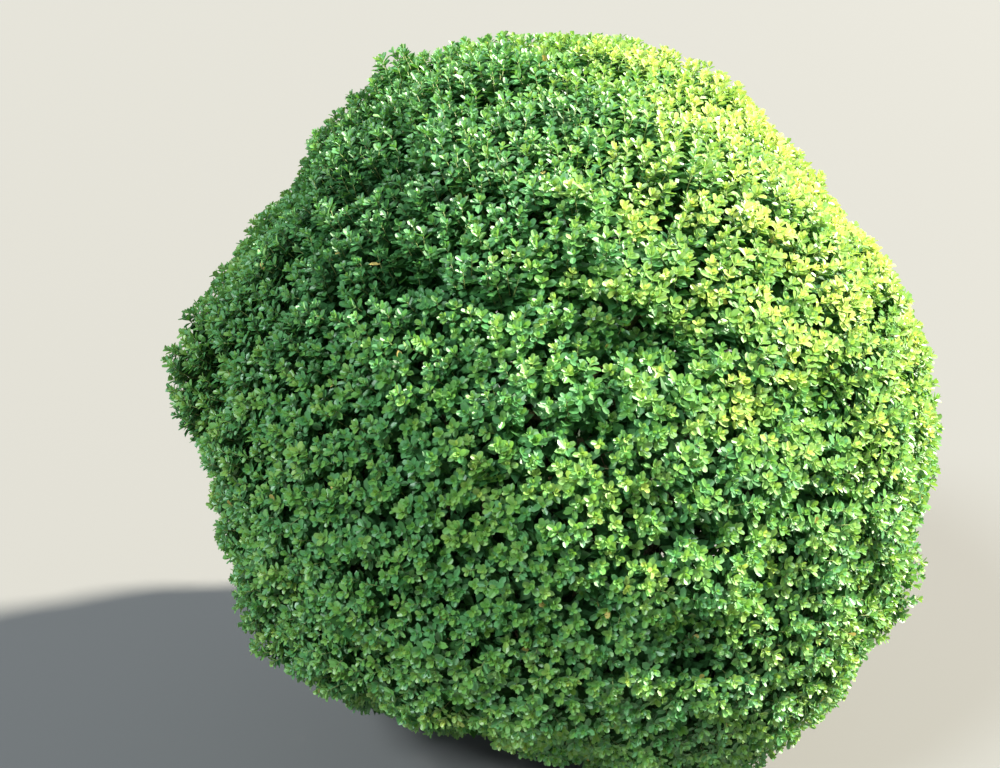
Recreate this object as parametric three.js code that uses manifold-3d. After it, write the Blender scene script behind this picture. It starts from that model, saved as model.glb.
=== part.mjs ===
// A box topiary ball, about 1.2 m across, rooted in the ground.
// Millimetres, +Z up. The origin lies at the middle of the flat cut under the trunk, and the
// crown's front faces -Y, with +X to its right.
//
// A short leaning trunk forks low down into five boughs that rise inside the crown. The crown is
// one clipped mass: a leafy shell, open underneath round the trunk, held up from within by a
// central stem and its branches, with leafy shoots standing out of it as far as the clipped face.

import * as THREE from "three";
import { mergeVertices } from "three/addons/utils/BufferGeometryUtils.js";
import Module from "manifold-3d";

const wasm = await Module();
wasm.setup();

// Driving dimensions of the crown
const BALL_RADIUS = 602; // from the crown's centre to its clipped face
const CENTRE_HEIGHT = 600; // the crown's centre above the ground
const GROUND_CLEARANCE = 24; // under the lowest leaves
const CORE_DEPTH = 92; // from the clipped face in to the outside of the shell
const SHELL_THICKNESS = 58;
const SHELL_OUTSIDE_DETAIL = 4; // how finely the shell's faces are divided
const SHELL_INSIDE_DETAIL = 2;
const FOOT_OPENING_RADIUS = 165; // the bare underside round the trunk
const FOOT_OPENING_TOP = 300;

// Swells (+) and flats (-) that clipping by hand has left on the face, with the way each one
// faces in degrees. Azimuth 0 is the front and grows towards +X. The spread is the angle at
// which a swell has fallen to about a third of its height.
const SWELLS = [
  { name: "left shoulder", azimuth: -93, elevation: 67, height: 30, spread: 16 },
  { name: "left dip", azimuth: -84, elevation: 38, height: -34, spread: 12 },
  { name: "left bulge", azimuth: -77, elevation: 14, height: 42, spread: 12 },
  { name: "left waist", azimuth: -75, elevation: -6, height: -20, spread: 9 },
  { name: "left cheek", azimuth: -62, elevation: -29, height: 22, spread: 9 },
  { name: "lower left flat", azimuth: -25, elevation: -55, height: -66, spread: 20 },
  { name: "crest", azimuth: 105, elevation: 81, height: 18, spread: 11 },
  { name: "right brow", azimuth: 88, elevation: 62, height: 28, spread: 10 },
  { name: "right flat", azimuth: 86, elevation: 45, height: -52, spread: 26 },
  { name: "right waist", azimuth: 70, elevation: -8, height: -16, spread: 13 },
  { name: "right spur", azimuth: 66, elevation: -18, height: 50, spread: 5 },
  { name: "lower right belly", azimuth: 48, elevation: -46, height: 38, spread: 21 },
  { name: "back shoulder", azimuth: 165, elevation: 48, height: 26, spread: 20 },
  { name: "back flat", azimuth: -150, elevation: 14, height: -30, spread: 18 },
  { name: "back belly", azimuth: 140, elevation: -22, height: 28, spread: 20 },
  { name: "back cheek", azimuth: -128, elevation: -32, height: 24, spread: 15 },
];

// Shallow ripples over the whole face, from clump to clump
const RIPPLE_WAVES = 7;
const RIPPLE_HEIGHT = 3.2;
const RIPPLE_PITCH = 150; // from crest to crest
const UNDERSIDE_ROUNDING = 40; // how softly the face turns under the crown

// Trunk
const TRUNK_HEIGHT = 196;
const TRUNK_LEAN = 14; // sideways travel of its top
const TRUNK_RADIUS = 36; // above the root flare
const TRUNK_TOP_RADIUS = 17;
const ROOT_FLARE = 30; // extra radius at the ground
const ROOT_FLARE_HEIGHT = 26;
const ROOT_LOBES = 5;
const ROOT_LOBE_DEPTH = 0.2; // of the flare's own width
const TRUNK_SIDES = 20;
const TRUNK_STEPS = 12;

// Boughs: where each one ends in the shell, and the height of its fork on the trunk's axis
const BOUGHS = [
  { azimuth: 20, elevation: 36, fork: 84, sway: 22 },
  { azimuth: 94, elevation: 47, fork: 102, sway: -20 },
  { azimuth: 163, elevation: 33, fork: 90, sway: 24 },
  { azimuth: 236, elevation: 44, fork: 108, sway: -18 },
  { azimuth: 308, elevation: 40, fork: 94, sway: 20 },
];
const BOUGH_RADIUS = 20;
const BOUGH_TIP_RADIUS = 9;
const COLLAR_SWELL = 5; // extra radius where a bough leaves the trunk
const COLLAR_LENGTH = 80; // from the trunk's axis to the end of the collar
const BOUGH_SOCKET_DEPTH = 26; // how far a bough's tip goes into the shell
const ELBOW_OUT = 0.62; // where a bough turns up, as parts of its reach and of its rise
const ELBOW_UP = 0.26;
const BOUGH_SIDES = 10;
const BOUGH_STEPS = 12;
const COLLAR_STEPS = 2;
const GAP = 0.3; // between neighbouring solids
const SAME_POINT = 1e-4; // corners nearer than this are one
const FINEST_DETAIL = 0.05; // smaller facets, where leaves cross, are smoothed away

// The crown's own stem and the branches that carry the shell
const STEM_TOP_HEIGHT = 690;
const STEM_TIP_RADIUS = 9;
const STEM_SIDES = 8;
const STEM_STEPS = 8;
const STEM_SWAY = 16;
const BRANCH_COUNT = 14;
const BRANCH_RADIUS = 7.5;
const BRANCH_TIP_RADIUS = 5;
const BRANCH_LOWEST = 0.3; // parts of the stem's length where the branches leave it
const BRANCH_HIGHEST = 0.98;
const BRANCH_SINK = 24; // how far a branch runs into the shell
const BRANCH_SAG = 26; // how far its middle may rise or sag
const BRANCH_SWAY = 13;
const BRANCH_SIDES = 3;
const BRANCH_STEPS = 3;
const LIMB_CLEARANCE = 6;

// Shoots and leaves, larger than life
const SHOOT_COUNT = 92;
const SHOOT_SPREAD = 0.03; // unevenness of their places
const SHOOT_RISE = 0.32; // how far a shoot turns up from straight out
const SHOOT_WANDER = 0.12;
const SHOOT_SINK = 22; // depth of a shoot's root in the shell
const SHOOT_LENGTH = 30; // out of the shell, before it is fitted to the clipped face
const SHOOT_SHORTEST = 4;
const FITTING_PASSES = 3;
const SHOOT_RADIUS = 9;
const SHOOT_TIP_RADIUS = 7;
const LEAF_LENGTH = 118;
const LEAF_WIDTH = 84;
const LEAF_THICKNESS = 5;
const LEAF_FOLD = 5; // the midrib's depth under the leaf's edges
const LEAF_WIDEST = 0.6; // box leaves are widest past their middle
const LEAF_THICKEST = 0.36;
const ANGLE_WANDER = 6; // in degrees
const SIZE_WANDER = 0.08;
const LEAF_SINK = 3; // how far a leaf's root runs past the middle of its shoot
const LEAF_CLEARANCE = 6; // between a leaf's tip and the shell
// A shoot's opposite pairs: place up the shoot, angle from it and size
const LEAF_PAIRS = [
  { place: 0.4, angle: 78, size: 1 },
  { place: 0.94, angle: 54, size: 0.94 },
];

const UP = new THREE.Vector3(0, 0, 1);
const TWIG_AXIS = new THREE.Vector3(0, 1, 0); // of a twig as it is first made
const CENTRE = new THREE.Vector3(0, 0, CENTRE_HEIGHT);
const GOLDEN_ANGLE = Math.PI * (3 - Math.sqrt(5));
const SEED = 1803;

const bark = new THREE.MeshStandardMaterial({ color: 0x8a7f69, roughness: 0.92, metalness: 0 });
const foliage = new THREE.MeshStandardMaterial({ color: 0x5f9a3c, roughness: 0.48, metalness: 0 });

// A repeatable stream of numbers from 0 to 1
function seededNumbers(seed) {
  let state = seed >>> 0;
  return () => {
    state = (state + 0x6d2b79f5) >>> 0;
    let mixed = Math.imul(state ^ (state >>> 15), state | 1);
    mixed ^= mixed + Math.imul(mixed ^ (mixed >>> 7), mixed | 61);
    return ((mixed ^ (mixed >>> 14)) >>> 0) / 4294967296;
  };
}

const random = seededNumbers(SEED);

// A number from -1 to 1
function either() {
  return random() * 2 - 1;
}

// The unit vector that looks out at an azimuth and elevation in degrees
function facing(azimuth, elevation) {
  const a = THREE.MathUtils.degToRad(azimuth);
  const e = THREE.MathUtils.degToRad(elevation);
  return new THREE.Vector3(
    Math.sin(a) * Math.cos(e),
    -Math.cos(a) * Math.cos(e),
    Math.sin(e),
  );
}

// The i-th of n directions that lie evenly all round, as the seeds of a sunflower do
function evenDirection(i, n) {
  const height = 1 - (2 * i + 1) / n;
  const across = Math.sqrt(1 - height * height);
  const turn = i * GOLDEN_ANGLE;
  return new THREE.Vector3(across * Math.cos(turn), across * Math.sin(turn), height);
}

function softMinimum(a, b, rounding) {
  return (a + b - Math.hypot(a - b, rounding)) / 2;
}

// The crown's outline

// Distance from the crown's centre to its clipped face, with ripples from 0 to 1
function faceRadius(direction, ripples) {
  let radius = BALL_RADIUS;
  for (const swell of SWELLS) {
    const angle = direction.angleTo(facing(swell.azimuth, swell.elevation));
    const spread = THREE.MathUtils.degToRad(swell.spread);
    radius += swell.height * Math.exp(-((angle / spread) ** 2));
  }
  const turns = (2 * Math.PI * BALL_RADIUS) / RIPPLE_PITCH;
  for (let i = 0; i < RIPPLE_WAVES; i += 1) {
    const along = direction.dot(evenDirection(i, RIPPLE_WAVES));
    radius += ripples * RIPPLE_HEIGHT * Math.sin(turns * along + i);
  }
  if (direction.z >= 0) return radius;
  const toGround = (CENTRE_HEIGHT - GROUND_CLEARANCE) / -direction.z;
  return softMinimum(radius, toGround + UNDERSIDE_ROUNDING / 2, UNDERSIDE_ROUNDING);
}

function pointAt(direction, radius) {
  return CENTRE.clone().addScaledVector(direction, radius);
}

// Depth of a point under the clipped face, negative outside it
function depthOf(point) {
  const out = point.clone().sub(CENTRE);
  const distance = out.length();
  return faceRadius(out.normalize(), 1) - distance;
}

// Solids

function toSolid(geometry) {
  const bare = geometry.clone();
  bare.deleteAttribute("normal");
  bare.deleteAttribute("uv");
  const merged = mergeVertices(bare, SAME_POINT);
  return new wasm.Manifold(
    new wasm.Mesh({
      numProp: 3,
      vertProperties: merged.getAttribute("position").array,
      triVerts: new Uint32Array(merged.index.array),
    }),
  );
}

// The one body that is left when sealed hollows are filled and loose scraps are dropped
function mainBody(solid) {
  const bodies = solid.decompose();
  return bodies.reduce((largest, body) => (body.volume() > largest.volume() ? body : largest));
}

function toMesh(name, solid, material) {
  const made = solid.getMesh();
  const geometry = new THREE.BufferGeometry();
  geometry.setAttribute("position", new THREE.BufferAttribute(made.vertProperties, made.numProp));
  geometry.setIndex(new THREE.BufferAttribute(made.triVerts, 1));
  geometry.computeVertexNormals();
  const mesh = new THREE.Mesh(geometry, material);
  mesh.name = name;
  return mesh;
}

// Limbs

// A limb's line: an arc with an elbow that also sways from side to side
class LimbLine extends THREE.QuadraticBezierCurve3 {
  constructor(start, elbow, end, side, sway) {
    super(start, elbow, end);
    this.side = side;
    this.sway = sway;
  }

  getPoint(t, target = new THREE.Vector3()) {
    super.getPoint(t, target);
    const swing = Math.sin(2 * Math.PI * t) * Math.sin(Math.PI * t);
    return target.addScaledVector(this.side, this.sway * swing);
  }
}

// A closed solid along part of a line, with flat ends square to it. radiusAt takes the
// distance along the line and the angle round it.
function limbSolid(line, radiusAt, from, to, sides, steps) {
  const length = line.getLength();
  const geometry = new THREE.CylinderGeometry(1, 1, 1, sides, steps);
  const position = geometry.getAttribute("position");
  for (let i = 0; i < position.count; i += 1) {
    const distance = THREE.MathUtils.lerp(from, to, position.getY(i) + 0.5);
    const x = position.getX(i);
    const z = position.getZ(i);
    const radius = radiusAt(distance, Math.atan2(z, x));
    const centre = line.getPointAt(distance / length);
    const along = line.getTangentAt(distance / length);
    const across = new THREE.Vector3().crossVectors(along, line.side).normalize();
    const side = new THREE.Vector3().crossVectors(across, along);
    centre.addScaledVector(side, x * radius).addScaledVector(across, -z * radius);
    position.setXYZ(i, centre.x, centre.y, centre.z);
  }
  return toSolid(geometry);
}

const trunkLine = new LimbLine(
  new THREE.Vector3(0, 0, 0),
  new THREE.Vector3(0, 0, TRUNK_HEIGHT / 2),
  new THREE.Vector3(TRUNK_LEAN, -TRUNK_LEAN / 2, TRUNK_HEIGHT),
  new THREE.Vector3(1, 0, 0),
  0,
);

function trunkRadius(distance, angle) {
  const rise = distance / trunkLine.getLength();
  const body = THREE.MathUtils.lerp(TRUNK_RADIUS, TRUNK_TOP_RADIUS, rise ** 3);
  const flare = ROOT_FLARE * Math.exp(-distance / ROOT_FLARE_HEIGHT);
  return body + flare * (1 + ROOT_LOBE_DEPTH * 2 * Math.sin(ROOT_LOBES * angle));
}

// The shell's inner face, in a direction from the crown's centre
function shellInside(direction) {
  return faceRadius(direction, 0) - CORE_DEPTH - SHELL_THICKNESS;
}

function boughLine(bough) {
  const outward = facing(bough.azimuth, bough.elevation);
  const end = pointAt(outward, shellInside(outward) + BOUGH_SOCKET_DEPTH);
  const start = trunkLine.getPointAt(bough.fork / TRUNK_HEIGHT);
  const elbow = new THREE.Vector3(
    THREE.MathUtils.lerp(start.x, end.x, ELBOW_OUT),
    THREE.MathUtils.lerp(start.y, end.y, ELBOW_OUT),
    THREE.MathUtils.lerp(start.z, end.z, ELBOW_UP),
  );
  const side = new THREE.Vector3(-outward.y, outward.x, 0).normalize();
  return new LimbLine(start, elbow, end, side, bough.sway);
}

function boughRadius(line, distance) {
  const taper = distance / line.getLength();
  const swell = COLLAR_SWELL * Math.exp(-distance / COLLAR_LENGTH);
  return THREE.MathUtils.lerp(BOUGH_RADIUS, BOUGH_TIP_RADIUS, taper) + swell * (1 - taper);
}

// A bough between its collar and its socket, or with room added all round it
function boughSolid(line, room) {
  const radiusAt = (distance) => boughRadius(line, distance) + room;
  const from = COLLAR_LENGTH + GAP - room;
  const to = line.getLength() - GAP + room;
  return limbSolid(line, radiusAt, from, to, BOUGH_SIDES, BOUGH_STEPS);
}

function trunkSolid(boughLines) {
  const body = limbSolid(
    trunkLine, trunkRadius, 0, trunkLine.getLength(), TRUNK_SIDES, TRUNK_STEPS,
  );
  const collars = boughLines.map((line) =>
    limbSolid(
      line, (distance) => boughRadius(line, distance), 0, COLLAR_LENGTH, BOUGH_SIDES, COLLAR_STEPS,
    ),
  );
  return mainBody(wasm.Manifold.union([body, ...collars]));
}

// The crown

// A closed form of the crown's outline, drawn in by a depth
function drawnIn(depth, detail) {
  const geometry = new THREE.IcosahedronGeometry(1, detail);
  const position = geometry.getAttribute("position");
  for (let i = 0; i < position.count; i += 1) {
    const direction = new THREE.Vector3().fromBufferAttribute(position, i).normalize();
    const point = pointAt(direction, faceRadius(direction, 0) - depth);
    position.setXYZ(i, point.x, point.y, point.z);
  }
  return toSolid(geometry);
}

function shellSolid() {
  const opening = new THREE.CylinderGeometry(
    FOOT_OPENING_RADIUS, FOOT_OPENING_RADIUS, FOOT_OPENING_TOP, TRUNK_SIDES,
  );
  opening.rotateX(Math.PI / 2);
  opening.translate(0, 0, FOOT_OPENING_TOP / 2);
  return drawnIn(CORE_DEPTH, SHELL_OUTSIDE_DETAIL)
    .subtract(drawnIn(CORE_DEPTH + SHELL_THICKNESS, SHELL_INSIDE_DETAIL))
    .subtract(toSolid(opening));
}

function stemLine() {
  const start = trunkLine.getPointAt(1);
  const along = trunkLine.getTangentAt(1);
  const elbow = start.clone().addScaledVector(along, (STEM_TOP_HEIGHT - TRUNK_HEIGHT) / 2);
  const end = new THREE.Vector3(0, 0, STEM_TOP_HEIGHT);
  return new LimbLine(start, elbow, end, new THREE.Vector3(1, 0, 0), STEM_SWAY);
}

function stemRadius(line, distance) {
  return THREE.MathUtils.lerp(TRUNK_TOP_RADIUS, STEM_TIP_RADIUS, distance / line.getLength());
}

// Whether a stretch of a twig keeps clear of every bough
function clearOfBoughs(line, radius, boughLines) {
  const stretch = line.getPoints(BRANCH_STEPS * 4);
  return boughLines.every((bough) =>
    bough.getSpacedPoints(BOUGH_STEPS * 4).every((point, i, points) => {
      const distance = (i / (points.length - 1)) * bough.getLength();
      const room = boughRadius(bough, distance) + radius + LIMB_CLEARANCE;
      return stretch.every((place) => place.distanceTo(point) > room);
    }),
  );
}

// The stem, and the branches that leave it one after another up its length
function branchSolids(boughLines) {
  const stem = stemLine();
  const solids = [
    limbSolid(
      stem, (distance) => stemRadius(stem, distance), GAP, stem.getLength(), STEM_SIDES, STEM_STEPS,
    ),
  ];
  for (let i = 0; i < BRANCH_COUNT; i += 1) {
    const outward = evenDirection(BRANCH_COUNT - 1 - i, BRANCH_COUNT);
    const place = THREE.MathUtils.lerp(BRANCH_LOWEST, BRANCH_HIGHEST, i / (BRANCH_COUNT - 1));
    const start = stem.getPointAt(place);
    const end = pointAt(outward, shellInside(outward) + BRANCH_SINK);
    if (Math.hypot(end.x, end.y) < FOOT_OPENING_RADIUS && end.z < FOOT_OPENING_TOP) continue;
    const elbow = start.clone().lerp(end, 0.5).addScaledVector(UP, BRANCH_SAG * either());
    const side = new THREE.Vector3(-outward.y, outward.x, 0).normalize();
    const line = new LimbLine(start, elbow, end, side, BRANCH_SWAY * either());
    if (!clearOfBoughs(line, BRANCH_RADIUS, boughLines)) continue;
    const radiusAt = (distance) =>
      THREE.MathUtils.lerp(BRANCH_RADIUS, BRANCH_TIP_RADIUS, distance / line.getLength());
    solids.push(limbSolid(line, radiusAt, 0, line.getLength(), BRANCH_SIDES, BRANCH_STEPS));
  }
  return solids;
}

// One leaf of eight faces, with its root at the origin, its tip along +Y and its upper face to +Z
function leafShape() {
  const geometry = new THREE.OctahedronGeometry(1);
  geometry.scale(LEAF_WIDTH / 2, 1, LEAF_THICKNESS / 2);
  const position = geometry.getAttribute("position");
  for (let i = 0; i < position.count; i += 1) {
    const y = position.getY(i);
    const isRib = Math.abs(y) < 0.5 && Math.abs(position.getX(i)) < LEAF_WIDTH / 4;
    if (y > 0.5) position.setY(i, LEAF_LENGTH);
    else if (y < -0.5) position.setY(i, -LEAF_SINK);
    else position.setY(i, LEAF_LENGTH * (isRib ? LEAF_THICKEST : LEAF_WIDEST));
    if (isRib) position.setZ(i, position.getZ(i) - LEAF_FOLD);
  }
  return geometry;
}

const LEAF = leafShape();

// A leaf set on its shoot, or null where it would leave the crown's space or dip into the shell
function leafSolid(leaf, joint, upper) {
  const tip = joint.clone().addScaledVector(leaf.along, LEAF_LENGTH * leaf.size);
  const depth = depthOf(tip);
  if (tip.z < GROUND_CLEARANCE || depth < -LEAF_THICKNESS) return null;
  if (depth > CORE_DEPTH - LEAF_CLEARANCE) return null;
  const across = new THREE.Vector3().crossVectors(leaf.along, upper).normalize();
  const normal = new THREE.Vector3().crossVectors(across, leaf.along);
  const place = new THREE.Matrix4().makeBasis(across, leaf.along, normal);
  place.scale(new THREE.Vector3(leaf.size, leaf.size, leaf.size));
  place.setPosition(joint);
  return toSolid(LEAF.clone().applyMatrix4(place));
}

// The leaves of one shoot in opposite pairs, each pair at right angles to the last, spread
// evenly about the way that the clipped face looks
function leavesRound(outward) {
  const sideways = new THREE.Vector3().crossVectors(outward, UP).normalize();
  const firstTurn = random() * Math.PI;
  return LEAF_PAIRS.flatMap((pair, index) =>
    [0, 1].map((half) => {
      const turn = firstTurn + (index / 2 + half) * Math.PI;
      const away = sideways.clone().applyAxisAngle(outward, turn);
      const angle = THREE.MathUtils.degToRad(pair.angle + ANGLE_WANDER * either());
      const along = outward.clone().multiplyScalar(Math.cos(angle));
      along.addScaledVector(away, Math.sin(angle));
      return { along, place: pair.place, size: pair.size * (1 + SIZE_WANDER * either()) };
    }),
  );
}

// How much further a shoot can grow before its outermost leaf passes the clipped face
function roomToGrow(root, along, length, leaves) {
  const spare = leaves.map((leaf) => {
    const joint = root.clone().addScaledVector(along, length * leaf.place);
    return depthOf(joint.addScaledVector(leaf.along, LEAF_LENGTH * leaf.size));
  });
  return Math.min(...spare);
}

// A three-sided shoot with its leaves, clipped where its outermost leaf reaches the face
function shootSolids(outward) {
  const wander = new THREE.Vector3(either(), either(), either()).multiplyScalar(SHOOT_WANDER);
  const along = outward.clone().addScaledVector(UP, SHOOT_RISE).add(wander).normalize();
  const root = pointAt(outward, faceRadius(outward, 0) - CORE_DEPTH);
  const leaves = leavesRound(outward);
  let length = SHOOT_LENGTH;
  for (let pass = 0; pass < FITTING_PASSES; pass += 1) {
    length += roomToGrow(root, along, length, leaves);
  }
  if (length < SHOOT_SHORTEST) return [];

  const twig = new THREE.CylinderGeometry(
    SHOOT_TIP_RADIUS, SHOOT_RADIUS, length + SHOOT_SINK, 3,
  );
  twig.translate(0, (length - SHOOT_SINK) / 2, 0);
  twig.applyQuaternion(new THREE.Quaternion().setFromUnitVectors(TWIG_AXIS, along));
  twig.translate(root.x, root.y, root.z);
  const leafSolids = leaves.map((leaf) =>
    leafSolid(leaf, root.clone().addScaledVector(along, length * leaf.place), outward),
  );
  return [toSolid(twig), ...leafSolids.filter((leaf) => leaf !== null)];
}

function crownSolid(boughLines) {
  const solids = [shellSolid(), ...branchSolids(boughLines)];
  for (let i = 0; i < SHOOT_COUNT; i += 1) {
    const outward = evenDirection(i, SHOOT_COUNT);
    outward.add(new THREE.Vector3(either(), either(), either()).multiplyScalar(SHOOT_SPREAD));
    outward.normalize();
    const foot = pointAt(outward, faceRadius(outward, 0) - CORE_DEPTH);
    if (Math.hypot(foot.x, foot.y) < FOOT_OPENING_RADIUS + SHOOT_SINK && outward.z < 0) continue;
    solids.push(...shootSolids(outward));
  }
  let crown = wasm.Manifold.union(solids);
  for (const line of boughLines) crown = crown.subtract(boughSolid(line, GAP));
  return mainBody(crown).simplify(FINEST_DETAIL);
}

// The whole plant

const boughLines = BOUGHS.map(boughLine);
const plant = new THREE.Group();
plant.add(toMesh("trunk", trunkSolid(boughLines), bark));
boughLines.forEach((line, index) => {
  plant.add(toMesh(`bough_${index + 1}`, boughSolid(line, 0), bark));
});
plant.add(toMesh("crown", crownSolid(boughLines), foliage));

export default plant;
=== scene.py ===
# %% [markdown]
# A clipped box ball, as it stands in a garden border. The plant is a dome of many thousand short
# shoots, each one cut off at the same face year after year, so that it has branched again and
# again just under the cut. What shows is a skin of small leaf rosettes with dark gaps between
# them. Behind it the bush is bare wood.
#
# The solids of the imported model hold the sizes: a short forked trunk, five boughs and one crown.
# Everything here is grown inside those sizes. Lengths are in metres, and the ground is at zero.

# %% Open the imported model
import math

import bpy
import numpy as np
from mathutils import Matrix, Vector, noise


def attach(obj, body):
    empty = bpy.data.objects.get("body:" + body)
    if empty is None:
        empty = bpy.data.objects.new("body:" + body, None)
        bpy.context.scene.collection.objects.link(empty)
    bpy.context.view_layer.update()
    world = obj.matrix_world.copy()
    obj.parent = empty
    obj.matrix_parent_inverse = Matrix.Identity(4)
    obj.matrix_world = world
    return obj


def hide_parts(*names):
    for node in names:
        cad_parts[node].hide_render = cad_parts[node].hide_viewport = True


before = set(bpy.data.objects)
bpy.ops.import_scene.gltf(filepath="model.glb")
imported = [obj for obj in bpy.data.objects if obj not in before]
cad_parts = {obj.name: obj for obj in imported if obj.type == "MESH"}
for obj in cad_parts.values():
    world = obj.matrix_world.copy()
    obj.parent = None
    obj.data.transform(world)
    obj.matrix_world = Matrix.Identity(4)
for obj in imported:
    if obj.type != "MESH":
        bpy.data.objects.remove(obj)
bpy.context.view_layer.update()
print("packed nodes:", ", ".join(sorted(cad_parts)))

# %% [markdown]
# The camera comes first, so that each piece can be looked at as soon as it is made. The picture's
# view looks a little down on the ball, which fills most of the frame and runs out of it below. A
# camera could be placed by trial, but here its place is worked out from where the middle of the
# ball lies in the picture and from how far away it is.

# %% Camera
PICTURE_WIDTH = 1000  # px
PICTURE_HEIGHT = 768
BALL_IN_PICTURE = (564, 412)  # px, the middle of the ball
LENS = 50.0  # mm
SENSOR_WIDTH = 36.0  # mm
LOOKING_DOWN = math.radians(17)
BALL_DISTANCE = 2.304  # from the lens to the middle of the ball
CENTRE_HEIGHT = 0.600  # of the ball's middle

camera = bpy.data.objects.new("camera", bpy.data.cameras.new("camera"))
camera.data.lens = LENS
camera.data.sensor_width = SENSOR_WIDTH
camera.rotation_euler = (math.pi / 2 - LOOKING_DOWN, 0, 0)
focal_px = LENS / SENSOR_WIDTH * PICTURE_WIDTH
to_ball = Vector((
    (BALL_IN_PICTURE[0] - PICTURE_WIDTH / 2) / focal_px,
    -(BALL_IN_PICTURE[1] - PICTURE_HEIGHT / 2) / focal_px,
    -1,
)).normalized()
to_ball.rotate(camera.rotation_euler)
camera.location = Vector((0, 0, CENTRE_HEIGHT)) - BALL_DISTANCE * to_ball
bpy.context.scene.collection.objects.link(camera)
bpy.context.scene.camera = camera
print("camera at", [round(place, 3) for place in camera.location])

# %% [markdown]
# The crown's outline is a rule, not a mesh: for any direction from the middle of the ball it says
# how far out the clipped face lies. It starts from a ball, adds the swells and flats that clipping
# by hand has left, then shallow ripples from clump to clump, and turns the face in over the
# ground. The same rule shaped the solids, so shoots that stop at it stay the right size.

# %% Directions round the ball
UP = np.array([0.0, 0.0, 1.0])
FRONT = np.array([0.0, -1.0, 0.0])
CENTRE = np.array([0.0, 0.0, CENTRE_HEIGHT])
GOLDEN_ANGLE = math.pi * (3 - math.sqrt(5))


def unit(vectors):
    """The same directions, one long."""
    return vectors / np.linalg.norm(vectors, axis=-1, keepdims=True)


def facing(azimuth, elevation):
    """The direction out at angles in degrees. Azimuth 0 is the front and grows towards +X."""
    turn = math.radians(azimuth)
    tilt = math.radians(elevation)
    level = math.cos(tilt)
    return np.array([math.sin(turn) * level, -math.cos(turn) * level, math.sin(tilt)])


def even_directions(count):
    """Directions that lie evenly all round, as the seeds of a sunflower do."""
    index = np.arange(count)
    height = 1 - (2 * index + 1) / count
    across = np.sqrt(1 - height**2)
    turn = index * GOLDEN_ANGLE
    return np.stack([across * np.cos(turn), across * np.sin(turn), height], axis=1)


# %% The clipped face
BALL_RADIUS = 0.602
GROUND_CLEARANCE = 0.024
UNDERSIDE_ROUNDING = 0.040
RIPPLE_WAVES = 7
RIPPLE_HEIGHT = 0.0032
RIPPLE_PITCH = 0.150

# Each swell (+) or flat (-): azimuth and elevation in degrees, height, spread in degrees
SWELLS = {
    "left shoulder": (-93, 67, 0.030, 16),
    "left dip": (-84, 38, -0.034, 12),
    "left bulge": (-77, 14, 0.042, 12),
    "left waist": (-75, -6, -0.020, 9),
    "left cheek": (-62, -29, 0.022, 9),
    "lower left flat": (-25, -55, -0.066, 20),
    "crest": (105, 81, 0.018, 11),
    "right brow": (88, 62, 0.028, 10),
    "right flat": (86, 45, -0.052, 26),
    "right waist": (70, -8, -0.016, 13),
    "right spur": (66, -18, 0.050, 5),
    "lower right belly": (48, -46, 0.038, 21),
    "back shoulder": (165, 48, 0.026, 20),
    "back flat": (-150, 14, -0.030, 18),
    "back belly": (140, -22, 0.028, 20),
    "back cheek": (-128, -32, 0.024, 15),
}


def face_radius(directions, ripples=1.0):
    """Distance from the middle of the ball to the clipped face."""
    radius = np.full(directions.shape[:-1], BALL_RADIUS)
    for azimuth, elevation, height, spread in SWELLS.values():
        angle = np.arccos(np.clip(directions @ facing(azimuth, elevation), -1, 1))
        radius += height * np.exp(-((angle / math.radians(spread)) ** 2))
    turns = 2 * math.pi * BALL_RADIUS / RIPPLE_PITCH
    for index, wave in enumerate(even_directions(RIPPLE_WAVES)):
        radius += ripples * RIPPLE_HEIGHT * np.sin(turns * (directions @ wave) + index)
    down = np.clip(-directions[..., 2], 1e-6, None)
    ground = (CENTRE_HEIGHT - GROUND_CLEARANCE) / down + UNDERSIDE_ROUNDING / 2
    rounded = (radius + ground - np.hypot(radius - ground, UNDERSIDE_ROUNDING)) / 2
    return np.where(directions[..., 2] < 0, rounded, radius)


def at_depth(directions, depth, ripples=1.0):
    """Points that lie a depth under the clipped face."""
    reach = face_radius(directions, ripples) - depth
    return CENTRE + directions * np.asarray(reach)[..., None]


sample = even_directions(2000)
reach = face_radius(sample)
print("clipped face:", round(float(reach.min()), 3), "to", round(float(reach.max()), 3))

# %% [markdown]
# Every limb, from the trunk to a leaf stalk, is a round tube along a line. Curve objects with a
# bevel would draw them, but thousands of curves are slow and hard to join. So one function turns
# a whole batch of lines into points and triangles at once, and another makes a mesh of them.

# %% Tubes
NEARLY_UPRIGHT = 0.9  # the rise of a line as a part of its length


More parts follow.
